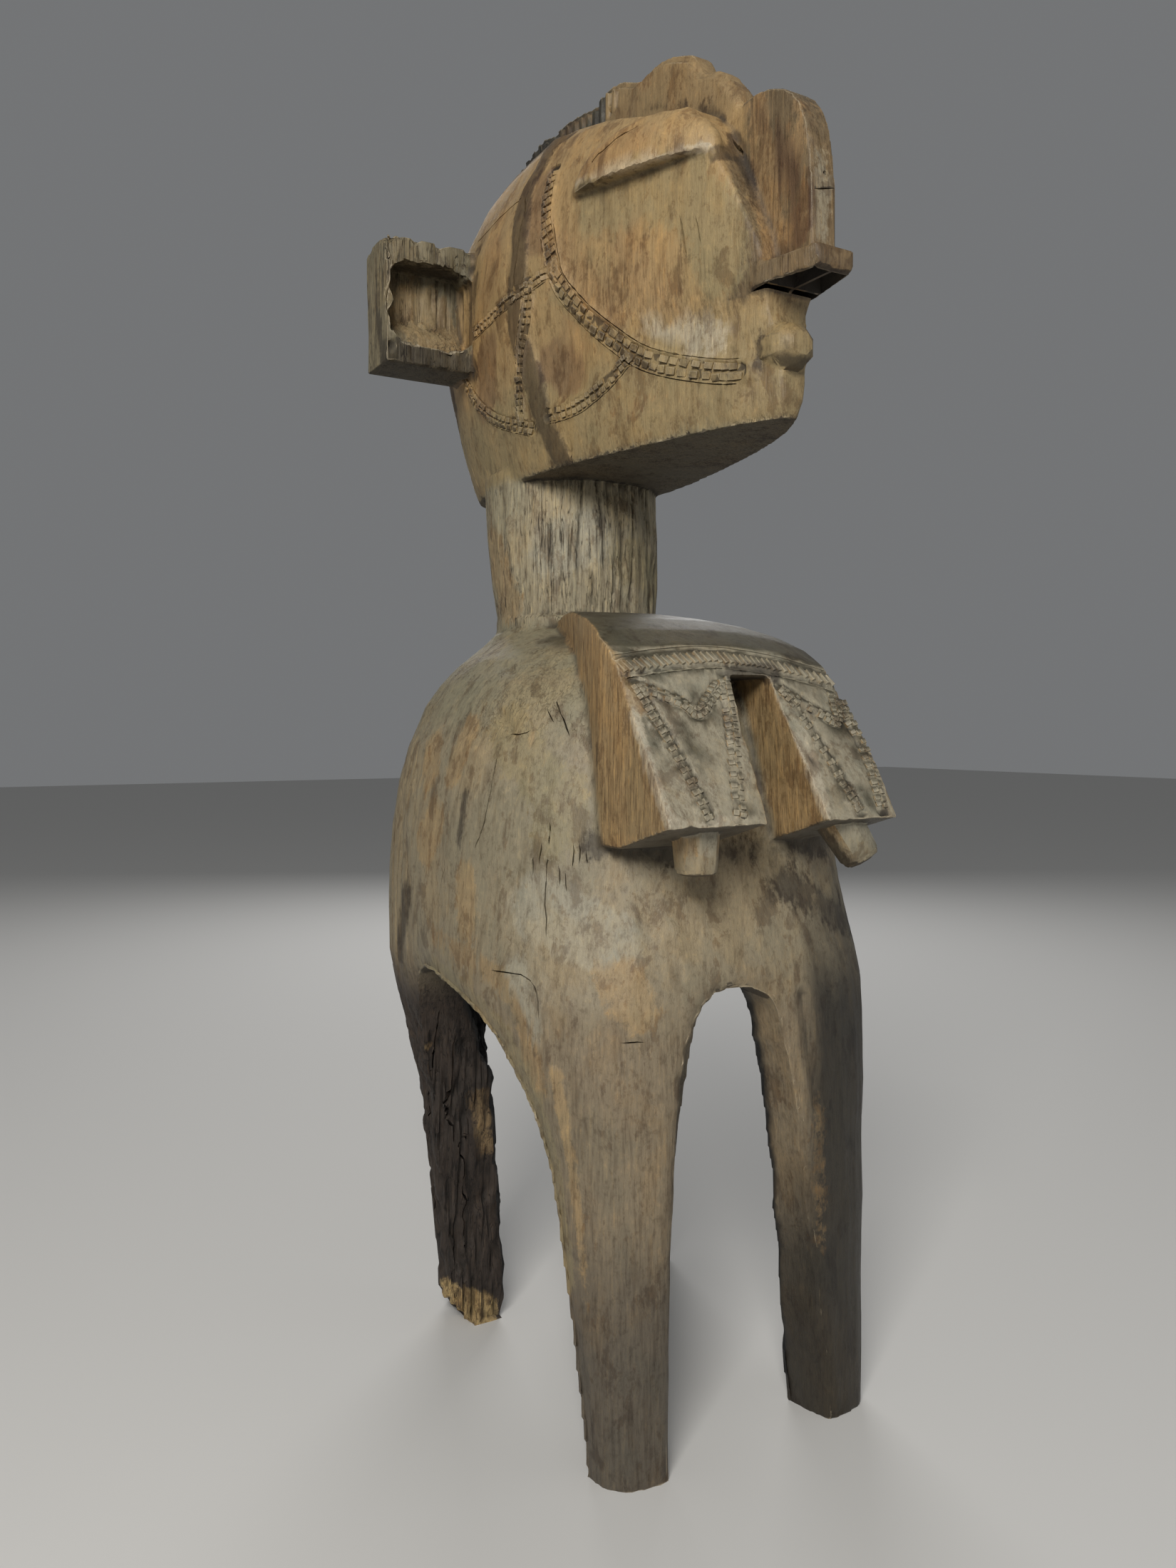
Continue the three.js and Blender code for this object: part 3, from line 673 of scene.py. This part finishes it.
head = soft(z, 0.833, 0.841)
neck = soft(z, 0.69, 0.71) * (1 - head)
chest = soft(oval(YOKE, at), 1.04, 1.12) * (z > 0.502) * (z < 0.71)
chest_side = chest * soft(np.abs(out[:, 0]), 0.5, 0.8) * (np.abs(depth) < 0.0006)
ear = head * (np.abs(x) > 0.099) * (y > 0.132)
flank = head * soft(np.abs(out[:, 0]), 0.3, 0.5) * (1 - ear)
comb = head * (y > 0.01) * (np.abs(x) < 0.045) * soft(z, 1.08, 1.12)
nose = head * (np.abs(x) < 0.034) * (y < -0.192) * (z > 0.93)
broken_leg = (x < -0.05) * (y > 0.06) * (1 - soft(z, 0.33, 0.4))
brush("shoulder", soft(z + 0.02 * ragged, 0.57, 0.64))
brush("neck", neck)
brush("leg", 1 - soft(z + 0.03 * ragged, 0.34, 0.42))
brush("leg foot", 1 - soft(z + 0.04 * ragged, 0.1, 0.24))
brush("jaw", head)
brush("cheek", head * soft(z, 0.9, 0.95))
brush("chest", chest)
brush("chest top", chest * soft(out[:, 2] + 0.2 * ragged, 0.45, 0.7))
brush("raw", chest_side)
brush("crest", head * (np.abs(x) < 0.021) * soft(z, 1.09, 1.1))
brush("comb", comb)
brush("nose", nose)
brush("ear", ear)
# painted shade over darker wood: the front left leg, away from the light, is painted darker
brush("dark leg", soft(x, 0.04, 0.07) * (1 - soft(y, -0.1, -0.04)) * (1 - soft(z + 0.02 * ragged, 0.34, 0.5)))
brush("char", broken_leg)
# painted shade: the whole hollow inside takes the near black tone
brush("inside", inside)
mirror = at.copy()
mirror[:, 0] = np.where(z > 0.83, -np.abs(x), x)


def stroke(line, reach):
    """1 along a line in millimetres and falling off to both sides, by 0.7 at its reach."""
    path = curve(line, 14) if len(line) > 1 else np.array(line * 2, float) / 1000
    return np.clip(1.15 - 0.7 * away(mirror, path, reach / 600) / (reach / 1000), 0, 1)


# Marks in millimetres, each after its tone, its strength and its reach. Those on the head serve both sides. The pale
# mark on the lower cheek is a painted highlight, the thin one along the eye shelf's rim is painted highlight and pale
# wear, and those along the chest's edges are pale wear.
MARKS_AND_SHEEN = [
    ("olive", 0.9, 30, [(-80, -66, 1046), (-62, -136, 1034), (-44, -188, 1000), (-40, -200, 960)]),
    ("amber", 0.8, 26, [(-82, -20, 1020), (-78, -40, 985), (-66, -90, 955)]),
    ("amber", 0.7, 24, [(-60, -100, 1000), (-60, -120, 960), (-54, -150, 935)]),
    ("jaw", 0.8, 16, [(-86, -20, 985), (-72, -80, 930), (-52, -150, 905)]),
    # painted highlight: the sheen on the lower cheek towards the mouth
    ("sheen and wear", 0.7, 20, [(-56, -130, 922), (-46, -165, 912), (-40, -190, 905)]),
    ("amber", 0.45, 16, [(-50, -150, 868), (-70, -80, 866)]),
    ("panel", 0.9, 24, [(-97, 92, 962), (-96, 104, 940), (-92, 112, 920)]),
    ("ochre", 0.8, 20, [(-96, 74, 960), (-94, 70, 925)]),
    ("amber", 0.7, 30, [(-96, 84, 1050), (-96, 96, 1020)]),
    ("panel", 0.8, 20, [(-88, 16, 1100), (-88, 14, 1040)]),
    ("panel", 1.0, 22, [(-86, -6, 930), (-80, -30, 912)]),
    ("amber", 0.7, 14, [(-84, -22, 958), (-78, -48, 932)]),
    ("burnt", 0.9, 12, [(-84, -18, 912), (-80, -36, 904)]),
    ("burnt", 0.9, 10, [(-98, 116, 960), (-98, 112, 938)]),
    ("amber", 0.9, 18, [(-66, -96, 1076), (-56, -136, 1072), (-80, -66, 1076)]),
    ("olive", 1.1, 8, [(-82, -62, 1062), (-68, -120, 1049), (-46, -180, 1042)]),
    # painted highlight and pale wear: the thin pale line along the eye shelf's rim
    ("sheen and wear", 1.1, 3.5, [(-84, -51, 1068), (-79, -96, 1059), (-69, -136, 1054), (-44, -190, 1050)]),
    ("torn", 1.2, 5, [(-42, -189, 1045)]),
    ("amber", 0.9, 14, [(-12, -208, 1080), (-12, -222, 1010), (-12, -236, 955)]),
    ("amber", 0.7, 9, [(-12, -256, 1060), (-12, -262, 1010)]),
    ("burnt", 1.0, 14, [(-12, -236, 1040), (-12, -250, 1012)]),
    ("burnt", 1.0, 12, [(-12, -262, 990), (-12, -262, 965)]),
    ("grey and sheen", 0.6, 12, [(0, -276, 1060), (0, -276, 960)]),
    ("amber", 0.7, 14, [(-11, -60, 1160), (-11, -40, 1180)]),
    ("amber", 0.7, 16, [(-11, 40, 1180), (-11, 90, 1185)]),
    ("ochre", 1.0, 34, [(-140, 168, 1010), (-130, 160, 1000)]),
    ("grey and sheen", 0.8, 34, [(-60, 40, 770), (-30, 24, 780)]),
    ("olive", 0.8, 30, [(20, 20, 760), (60, 50, 740)]),
    ("raw", 0.9, 22, [(-80, 90, 720), (-86, 116, 780)]),
    ("ochre", 0.9, 22, [(-179, 56, 580), (-180, 50, 560)]),
    ("ochre", 0.9, 16, [(-172, -10, 600), (-178, 0, 560)]),
    ("ochre", 0.9, 24, [(-187, 28, 513), (-189, 43, 494)]),
    ("ochre", 0.9, 18, [(-185, -39, 470), (-186, -44, 437)]),
    ("ochre", 0.9, 22, [(-120, -176, 410), (-108, -184, 380)]),
    ("ochre", 0.8, 12, [(-148, -84, 590), (-150, -90, 560)]),
    ("olive", 0.9, 26, [(-158, -60, 600), (-150, -100, 560)]),
    ("olive", 0.9, 24, [(-135, -124, 546), (-144, -124, 515)]),
    # grey weathered wood with a painted highlight: the pale patch on the front of the belly
    ("grey and sheen", 1.1, 26, [(-160, -118, 455), (-140, -150, 440), (-120, -168, 430)]),
    ("grey and sheen", 0.8, 18, [(-168, -110, 400), (-160, -126, 360)]),
    ("raw", 0.8, 12, [(-189, 12, 412), (-182, -60, 402), (-172, -110, 380), (-162, -132, 310)]),
    ("olive", 1.0, 14, [(-186, 20, 382), (-180, -60, 366), (-168, -108, 332), (-156, -130, 270), (-148, -146, 160)]),
    ("ochre", 0.9, 7, [(-158, -150, 330), (-150, -168, 200), (-146, -178, 60)]),
    ("raw", 0.45, 14, [(60, -204, 290), (70, -204, 160)]),
    ("raw", 0.6, 16, [(-112, 94, 230), (-102, 96, 180)]),
    ("ochre", 0.9, 6, [(-167, 90, 291)]),
    ("torn", 1.3, 20, [(-140, 111, 26), (-112, 100, 8)]),
    ("sheen and wear", 0.9, 7, [(34, -214, 593), (34, -225, 573), (31, -249, 532)]),
    ("sheen and wear", 0.8, 7, [(-118, -200, 612), (-118, -248, 532), (-60, -252, 530)]),
    ("ochre", 0.7, 9, [(-118, -160, 676), (-118, -200, 612)]),
]
mark, marked = paint.copy(), np.zeros(len(at))
for tone, strength, reach, line in MARKS_AND_SHEEN:
    share = strength * stroke(line, reach)
    mark[share > marked] = linear(tone)
    marked = np.maximum(marked, share)
marked *= 1 - inside

# Soot, damp and painted shade, in the same way: each place after its strength and its reach. The strokes in the
# ear's cup, under the eye shelf, beside the nose and the mouth's knob, under the chest and the breasts and on the
# front left leg are painted shade.
SOOT_AND_SHADE = [
    (0.8, 14, [(-50, 20, 1140), (-52, 80, 1150), (-50, 150, 1140)]),
    (0.55, 8, [(-17, -68, 1142), (-14, -139, 1108), (-14, -170, 1088)]),
    (0.9, 8, [(-14, -186, 1066), (-14, -194, 1040), (-20, -214, 990)]),
    (0.9, 8, [(-38, -192, 1044), (-22, -192, 1050)]),
    (0.7, 8, [(-84, -54, 1058), (-80, -70, 1060)]),
    (0.7, 30, [(-70, 230, 900), (-78, 220, 1000), (-70, 210, 1080)]),
    (0.9, 16, [(-188, 140, 960), (-134, 140, 956), (-90, 140, 958)]),
    (0.8, 12, [(-90, 140, 1070), (-92, 140, 960)]),
    (0.9, 9, [(-110, 160, 1046), (-140, 160, 1050), (-176, 160, 1046), (-182, 160, 1000), (-182, 150, 972)]),
    (0.9, 10, [(-92, 128, 1040), (-90, 134, 950)]),
    (0.6, 6, [(-22, -226, 876), (-22, -226, 902)]),
    (0.6, 8, [(-185, -23, 497), (-180, -27, 543)]),
    (1.0, 10, [(-15, -190, 643), (28, -183, 645)]),
    (0.6, 24, [(40, -186, 470), (100, -180, 440), (140, -150, 420)]),
    (0.7, 16, [(-120, -150, 505), (-60, -180, 500), (0, -190, 500), (60, -186, 500), (110, -160, 500)]),
    (0.7, 7, [(-124, -100, 660), (-124, -140, 600), (-124, -150, 530)]),
    (0.7, 22, [(150, -160, 300), (150, -150, 60)]),
    (0.8, 18, [(-186, 90, 440), (-180, 110, 380)]),
]
dark = np.zeros(len(at))
for strength, reach, line in SOOT_AND_SHADE:
    dark = np.maximum(dark, strength * stroke(line, reach))
strip = np.clip(1.1 - 0.65 * away(at[:, 1:], curve(HAIR), 0.02) / 0.0125, 0, 1)
# painted shade: faces turned downward are darkened, less so under the eye shelves
under = soft(-out[:, 2], 0.45, 0.8) * (z > 0.3) * (1 - 0.6 * (z > 1.03) * (z < 1.09))
dark = np.maximum.reduce([dark, strip * flank, 0.95 * under, 0.55 * comb, 0.35 * broken_leg])
dark = np.maximum(dark, 0.44 * head * soft(depth, 0.0006, 0.0012))
# painted shade: the ground of the bands around the blocks is darkened
dark = np.maximum(dark, (0.4 + 0.35 * head) * kept("band") * (1 - soft(depth, 0.0002, 0.001)))

# Edges that rub against hands, cloth and the ground show paler wood
RUBBED = [
    (9, [(-18, -165, 1088), (-45, -160, 1091), (-60, -120, 1101), (-66, -60, 1112)]),
    (7, [(-84, -51, 1066), (-79, -92, 1058), (-69, -120, 1054), (-61, -150, 1052), (-42, -189, 1050)]),
    (12, [(-12, -192, 1092), (-12, -240, 1080), (-12, -268, 1040), (-12, -276, 960)]),
    (12, [(-30, -232, 940), (-18, -287, 940), (18, -287, 940)]),
    (12, [(-188, 134, 1071), (-84, 134, 1071)]),
    (10, [(-188, 134, 951), (-188, 134, 1071)]),
    (9, [(-184, 134, 968), (-101, 134, 968)]),
    (12, [(-120, -150, 690), (-120, -200, 610), (-120, -252, 526), (-30, -254, 526)]),
    (12, [(30, -252, 526), (106, -250, 526)]),
    (9, [(31, -251, 529), (34, -225, 573), (24, -190, 640)]),
    (14, [(-150, -160, 330), (-142, -178, 200), (-138, -190, 20)]),
    (12, [(-84, -203, 10), (-84, -205, 200), (-78, -206, 320), (-46, -204, 388), (12, -203, 382), (30, -204, 330)]),
    (12, [(38, -204, 300), (64, -203, 140), (84, -203, 10)]),
    (16, [(-190, 12, 396), (-184, -60, 384), (-176, -106, 352), (-160, -132, 290)]),
    (12, [(-60, -140, 842), (-76, -60, 838), (-40, -200, 842), (-20, -236, 846)]),
    (14, [(-11, -112, 1164), (-11, -61, 1178), (-11, 14, 1194), (-11, 144, 1202)]),
    (10, [(-120, -203, 4), (-84, -203, 4)]),
]
worn = np.zeros(len(at))
for reach, line in RUBBED:
    worn = np.maximum(worn, stroke(line, reach))
proud = kept("proud") * (np.abs(depth) < 0.0006)
worn = np.maximum(worn, 0.25) * (0.4 + 0.6 * soft(proud, 0.0, 0.4)) + 0.5 * soft(depth, 0.001, 0.002)
# painted shade: hollows below their surroundings and the cut cracks, lines and nostrils are darkened
pit = np.maximum(soft(-proud, 0.25, 1.3) * (1 - 0.5 * ear), soft(-depth, 0.0005, 0.0018))
combed = 0.15 + 0.6 * stroke([(-72, -70, 965), (-60, -120, 950), (-50, -160, 930)], 34)
combed = np.maximum.reduce([combed, 0.8 * nose, chest_side, 0.7 * neck, 0.9 * broken_leg, 0.5 * (z < 0.36), 0.5 * ear])
weather = np.clip(neck + ear + broken_leg + 0.35 * soft(z, 0.56, 0.62) * (1 - head) * (1 - chest) + 0.06, 0, 1)
for name, values in (("tone", paint), ("mark", mark)):
    layer = mask.data.attributes.new(name, "FLOAT_COLOR", "POINT")
    layer.data.foreach_set("color", np.column_stack([values, np.ones(len(at))]).astype(np.float32).ravel())
for name, values in (
    ("marked", marked), ("dark", dark), ("worn", worn), ("pit", pit), ("weather", weather), ("combed", combed),
):
    keep(mask.data, name, np.clip(values, 0, 1))
for name in ("proud", "inside", "band"):
    mask.data.attributes.remove(mask.data.attributes[name])
# painted shade: the faces inside the nostrils are marked, to be painted near black
middle = np.empty(3 * len(mask.data.polygons), np.float32)
mask.data.polygons.foreach_get("center", middle)
u, v, w = middle.reshape(-1, 3).T
nostrils = (np.abs(u) < 0.0278) & (v > -0.2825) & (v < -0.205) & (w > 0.9335) & (w < 0.9485)
nostrils &= np.abs(u) < np.interp(-v, [0.231, 0.282], [0.0276, 0.0158])
layer = mask.data.attributes.new("hollow", "FLOAT", "FACE")
layer.data.foreach_set("value", nostrils.astype(np.float32))


class Value:
    """A value on its way through the nodes of a finish, so that it can be written in sums."""

    def __init__(self, tree, socket):
        self.tree = tree
        self.socket = socket

    def node(self, kind, settings, sockets, result=0):
        made = self.tree.nodes.new(kind)
        for name, value in settings.items():
            if name == "stops":
                while len(made.color_ramp.elements) < len(value):
                    made.color_ramp.elements.new(1.0)
                for stop, (place, colour) in zip(made.color_ramp.elements, value):
                    stop.position = place
                    stop.color = (*colour, 1)
            else:
                setattr(made, name, value)
        for name, value in sockets.items():
            if isinstance(value, Value):
                self.tree.links.new(value.socket, made.inputs[name])
            else:
                made.inputs[name].default_value = value
        return Value(self.tree, made.outputs[result])

    def maths(self, operation, *others):
        return self.node("ShaderNodeMath", {"operation": operation}, dict(enumerate((self, *others))))

    def __add__(self, other):
        return self.maths("ADD", other)

    def __sub__(self, other):
        return self.maths("SUBTRACT", other)

    def __rsub__(self, other):
        return self.node("ShaderNodeMath", {"operation": "SUBTRACT"}, {0: other, 1: self})

    def __mul__(self, other):
        return self.maths("MULTIPLY", other)

    __radd__ = __add__
    __rmul__ = __mul__

    def rises(self, low, high):
        """0 at low and 1 at high; a low above the high makes it fall."""
        return self.node("ShaderNodeMapRange", {"clamp": True}, {0: self, 1: low, 2: high, 3: 0.0, 4: 1.0})

    def mixed(self, other, amount, blend="MIX"):
        return self.node(
            "ShaderNodeMix", {"data_type": "RGBA", "blend_type": blend, "clamp_result": True}, {0: amount, 6: self, 7: other}, 2
        )


finish = bpy.data.materials.new("old_wood")
finish.use_nodes = True
nodes = finish.node_tree.nodes
shader = nodes["Principled BSDF"]
start = Value(finish.node_tree, nodes.new("ShaderNodeTexCoord").outputs["Object"])


def noisy(stretch, scale, detail=4.0, rough=0.6, twist=0.0):
    """Noise drawn out along the grain by stretch."""
    place = start.node("ShaderNodeMapping", {}, {"Vector": start, "Scale": (1, 1, 1 / stretch)})
    sockets = {"Vector": place, "Scale": scale, "Detail": detail, "Roughness": rough, "Distortion": twist}
    return start.node("ShaderNodeTexNoise", {}, sockets)


def layered(name, colour=False):
    return start.node("ShaderNodeAttribute", {"attribute_name": name}, {}, 0 if colour else 2)


tone, mark, marked = layered("tone", True), layered("mark", True), layered("marked")
dark, worn, pit = layered("dark"), layered("worn"), layered("pit")
weather, combed = layered("weather"), layered("combed")
streak = noisy(11, 400, 6.0, 0.7, 0.1)
vein = noisy(7, 110, 5.0, 0.65, 0.3)
fibre = noisy(22, 1100, 2.0)
mottle = noisy(1.4, 150, 8.0, 0.75)
blotch = noisy(1.7, 40, 8.0, 0.68, 0.4)
cloud = noisy(1.5, 13, 7.0, 0.65, 0.3)
drift = 0.9 * (blotch - 0.5) + 0.8 * (mottle - 0.5)
tilted = start.node("ShaderNodeBevel", {"samples": 6}, {"Radius": 0.0024})
level = nodes.new("ShaderNodeNewGeometry").outputs["Normal"]
facing = start.node("ShaderNodeVectorMath", {"operation": "DOT_PRODUCT"}, {0: tilted, 1: Value(start.tree, level)}, 1)
edge = (1 - facing).rises(0.015, 0.16)
split = (noisy(20, 70, 4.0, 0.55) - 0.5).maths("ABSOLUTE").rises(0.012, 0.0) * blotch.rises(0.47, 0.56)
fine_split = (noisy(22, 210, 3.0, 0.5) - 0.5).maths("ABSOLUTE").rises(0.02, 0.0) * cloud.rises(0.42, 0.54)
split = split.maths("MAXIMUM", fine_split * 0.8) * weather
# painted shade: pits, cuts and the nostrils' hollows go near black, with the dark cracks of the grain
cracks_and_shade = (pit * 0.8).maths("MAXIMUM", split).maths("MAXIMUM", layered("hollow"))
shade = tone.mixed(mark, (marked + drift).rises(0.38, 0.56) * 0.62)
shade = shade.mixed((1.15, 1.04, 0.88, 1), cloud.rises(0.52, 0.59) * 0.5, "MULTIPLY")
shade = shade.mixed((0.78, 0.84, 0.88, 1), cloud.rises(0.47, 0.40) * 0.5, "MULTIPLY")
shade = shade.mixed((0.46, 0.39, 0.34, 1), (blotch + 0.5 * mottle).rises(0.79, 0.86) * 0.7, "MULTIPLY")
shade = shade.mixed((0.58, 0.54, 0.49, 1), mottle.rises(0.47, 0.36) * 0.7, "MULTIPLY")
shade = shade.mixed((1.5, 1.42, 1.28, 1), mottle.rises(0.54, 0.66) * 0.55, "MULTIPLY")
shade = shade.mixed((0.40, 0.33, 0.26, 1), streak.rises(0.49, 0.37) * (0.12 + 0.65 * combed), "MULTIPLY")
shade = shade.mixed((1.6, 1.48, 1.24, 1), streak.rises(0.53, 0.66) * (0.08 + 0.65 * combed), "MULTIPLY")
shade = shade.mixed((0.6, 0.54, 0.48, 1), vein.rises(0.48, 0.36) * 0.5, "MULTIPLY")
gloom = (dark + drift).rises(0.36, 0.56)
shade = shade.mixed((0.30, 0.29, 0.30, 1), gloom * 0.9, "MULTIPLY")
shade = shade.mixed((0.50, 0.42, 0.29, 1), (edge * worn + 0.5 * (mottle - 0.5)).rises(0.3, 0.7) * 0.7)
shade = shade.mixed((0.012, 0.010, 0.008, 1), cracks_and_shade * 0.9)
height = 0.5 * streak * (0.25 + combed) + 0.3 * fibre + 0.7 * mottle + 0.5 * blotch + 0.3 * vein - 1.8 * split
bump = start.node("ShaderNodeBump", {}, {"Strength": 0.65, "Distance": 0.0014, "Height": height})
finish.node_tree.links.new(shade.socket, shader.inputs["Base Color"])
rough = 0.34 + 0.3 * mottle + 0.16 * weather + 0.25 * cracks_and_shade + 0.1 * gloom
finish.node_tree.links.new(rough.socket, shader.inputs["Roughness"])
finish.node_tree.links.new(bump.socket, shader.inputs["Normal"])
shader.inputs["Specular IOR Level"].default_value = 0.45
mask.data.materials.clear()
mask.data.materials.append(finish)
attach(mask, "root")
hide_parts("nimba_mask")

# The room: a plain pale floor, a large soft light from the upper left, a weaker one from the right and a pale sky.
floor_mesh = bmesh.new()
bmesh.ops.create_grid(floor_mesh, x_segments=1, y_segments=1, size=12)
floor = bpy.data.objects.new("floor", bpy.data.meshes.new("floor"))
floor_mesh.to_mesh(floor.data)
floor_mesh.free()
bpy.context.scene.collection.objects.link(floor)
pale = bpy.data.materials.new("pale_floor")
pale.use_nodes = True
pale.node_tree.nodes["Principled BSDF"].inputs["Base Color"].default_value = (0.62, 0.61, 0.59, 1)
pale.node_tree.nodes["Principled BSDF"].inputs["Roughness"].default_value = 0.9
floor.data.materials.append(pale)

world = bpy.data.worlds.new("room")
bpy.context.scene.world = world
world.use_nodes = True
world.node_tree.nodes["Background"].inputs["Color"].default_value = (0.86, 0.88, 0.9, 1)
world.node_tree.nodes["Background"].inputs["Strength"].default_value = 0.2


def lamp(name, place, aim, size, watts, colour):
    light = bpy.data.lights.new(name, "AREA")
    light.size = size
    light.energy = watts
    light.color = colour
    holder = bpy.data.objects.new(name, light)
    holder.location = place
    holder.rotation_euler = (Vector(aim) - Vector(place)).to_track_quat("-Z", "Y").to_euler()
    bpy.context.scene.collection.objects.link(holder)


lamp("window", (-1.45, -1.65, 1.8), (0, 0, 0.8), 0.9, 56, (1.0, 0.98, 0.94))
lamp("bounce", (2.0, -1.8, 1.0), (0, 0, 0.6), 1.8, 5, (0.94, 0.97, 1.0))
lamp("rim", (1.3, 2.4, 2.0), (0, 0, 0.6), 1.6, 34, (1.0, 1.0, 1.0))
bpy.context.scene.view_settings.view_transform = "Standard"

# The camera stands in front of the figure's right shoulder, half the mask's height above the floor.
eye = bpy.data.cameras.new("camera")
eye.sensor_width = 36
eye.lens = 27.03
viewer = bpy.data.objects.new("camera", eye)
viewer.location = (-0.594, -0.9552, 0.6)
turned, down = math.radians(30), math.radians(2.8)
look = Vector((math.sin(turned) * math.cos(down), math.cos(turned) * math.cos(down), -math.sin(down)))
viewer.rotation_euler = look.to_track_quat("-Z", "Y").to_euler()
bpy.context.scene.collection.objects.link(viewer)
bpy.context.scene.camera = viewer
